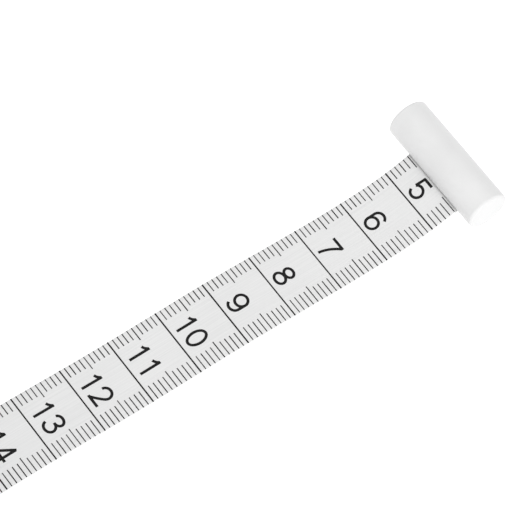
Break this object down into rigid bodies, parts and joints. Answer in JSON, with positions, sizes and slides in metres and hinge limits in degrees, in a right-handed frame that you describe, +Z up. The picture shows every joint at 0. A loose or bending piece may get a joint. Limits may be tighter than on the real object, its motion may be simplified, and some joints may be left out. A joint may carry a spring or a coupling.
{
  "type": "tape measure",
  "caption": "Girth tape measure: coated ribbon with a centimetre scale and a round T-bar end, pulled out of a small sprung case with a release button and a bar dock.",
  "frame": {"origin": "on the surface the case stands on, straight below the drum's axis and midway across the ribbon", "axes": "+Z up, +X from the case along the pulled-out tape to the T-bar, +Y from the button face to the screw face"},
  "size_m": [0.1654, 0.03, 0.0432],
  "materials": {
    "case_plastic": "satin moulded",
    "guide_plastic": "fine matt",
    "button_plastic": "fine matt",
    "bar_plastic": "satin moulded",
    "drum_plastic": "natural acetal",
    "slip_plastic": "smooth",
    "tape_ribbon": "coated glass-fibre cloth",
    "plated_steel": "zinc plated",
    "spring_steel": "blued strip",
    "arbor_metal": "turned",
    "brake_rubber": "moulded"
  },
  "bodies": {
    "case": {"front_shell": "case_plastic", "rear_shell": "case_plastic", "case_screws": "plated_steel", "mouth_guide": "guide_plastic", "t_bar_dock": "guide_plastic", "spring_arbor": "arbor_metal", "arbor_screw": "plated_steel", "thrust_washer": "slip_plastic", "drum_clip": "spring_steel", "tape_lead": "tape_ribbon", "brake_pin": "plated_steel", "brake_spring": "spring_steel"},
    "drum_body": {"drum": "drum_plastic", "drum_front_flange": "drum_plastic", "tape_anchor_pin": "plated_steel", "tape_coil": "tape_ribbon", "power_spring": "spring_steel"},
    "button_body": {"button": "button_plastic"},
    "lever_body": {"brake_lever": "drum_plastic", "brake_pad": "brake_rubber"},
    "tape_body": {"t_bar": "bar_plastic", "t_bar_pin": "plated_steel", "t_bar_plug": "bar_plastic", "tape_blade": "tape_ribbon"}
  },
  "joints": [
    {"name": "tape_pull", "type": "slide", "parent": "case", "child": "tape_body", "axis": [1, 0, 0], "range_m": [-0.1144, 0], "deforming": ["tape_blade"]},
    {"name": "drum_spin", "type": "hinge", "parent": "case", "child": "drum_body", "pos_m": [0, 0, 0.022], "axis": [0, 1, 0], "range_deg": [-5, 420], "deforming": ["power_spring"]},
    {"name": "button_press", "type": "slide", "parent": "case", "child": "button_body", "axis": [0, 1, 0], "range_m": [0, 0.001], "stiffness_N_per_m": 1500, "springref_m": -0.0005},
    {"name": "brake_release", "type": "hinge", "parent": "case", "child": "lever_body", "pos_m": [0, -0.01005, 0.032], "axis": [1, 0, 0], "range_deg": [0, 5.8], "deforming": ["brake_spring"]}
  ],
  "couplings": [
    {"joint": "drum_spin", "follows": "tape_pull", "rad_per_m": -64.07},
    {"joint": "brake_release", "follows": "button_press", "rad_per_m": 100}
  ]
}
